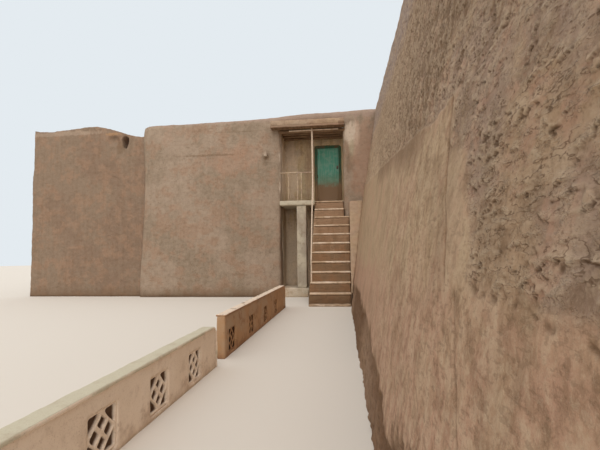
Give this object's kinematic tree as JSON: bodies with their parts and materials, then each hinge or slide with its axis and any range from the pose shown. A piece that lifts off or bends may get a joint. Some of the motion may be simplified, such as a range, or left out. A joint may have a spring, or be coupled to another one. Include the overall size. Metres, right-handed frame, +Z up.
{
  "type": "adobe house with an outside stair and courtyard walls",
  "caption": "Mud-walled house with an outside stair to a roofed upper porch, leaning courtyard wall, broken yard wall and garden walls of pierced blocks.",
  "frame": {"origin": "on the ground, in the middle of the whole plan", "axes": "+Z up, +Y from the courtyard towards the house, +X to the right as the facade is faced"},
  "size_m": [12.16, 17.98, 5.7626],
  "materials": {
    "facade_mud": "mud and straw plaster on adobe, matt",
    "porch_mud": "mud plaster in the shade of the porch, matt",
    "tall_wall_mud": "coarse flaking mud plaster, matt",
    "yard_wall_mud": "reddish rammed mud, matt",
    "stair_mud": "brown mud plaster, matt",
    "roof_mud": "mud roofing, matt",
    "dark_timber": "old unpainted poplar, dark",
    "pale_tread": "worn gypsum and brick nosings, matt",
    "pale_concrete": "pale cement, matt",
    "pale_plaster": "pale gypsum plaster, matt",
    "green_paint": "faded blue-green paint",
    "dark_iron": "rusty iron",
    "cream_pipe": "cream paint on steel pipe",
    "garden_plaster": "cement and mud plaster, matt",
    "block_concrete": "cast concrete block, dusty"
  },
  "bodies": {
    "root": {"door_frame": "green_paint", "door_hinges": "dark_iron", "door_latch": "dark_iron", "door_leaf": "green_paint", "door_wall_left": "porch_mud", "door_wall_over": "porch_mud", "door_wall_right": "porch_mud", "door_wall_under": "porch_mud", "eave_plank": "dark_timber", "front_wall_left": "facade_mud", "front_wall_right": "facade_mud", "garden_coping_far": "pale_concrete", "garden_coping_near": "pale_concrete", "garden_screens_far": "block_concrete", "garden_screens_near": "block_concrete", "garden_wall_far": "garden_plaster", "garden_wall_near": "garden_plaster", "landing_pier": "pale_plaster", "landing_railing": "cream_pipe", "landing_slab": "pale_concrete", "left_wall": "facade_mud", "left_yard_wall": "yard_wall_mud", "porch_ceiling": "dark_timber", "porch_lintel": "dark_timber", "porch_parapet": "facade_mud", "porch_plinth": "stair_mud", "porch_poles": "dark_timber", "porch_post": "cream_pipe", "porch_roof": "roof_mud", "porch_side_left": "porch_mud", "porch_side_right": "porch_mud", "rear_wall": "facade_mud", "right_wall": "facade_mud", "roof": "roof_mud", "shade_rod": "cream_pipe", "stair_cheek": "tall_wall_mud", "stair_handrail": "cream_pipe", "stair_mass": "stair_mud", "stair_treads": "pale_tread", "tall_wall": "tall_wall_mud", "upper_floor": "roof_mud", "wall_peg": "pale_plaster"}
  },
  "joints": []
}
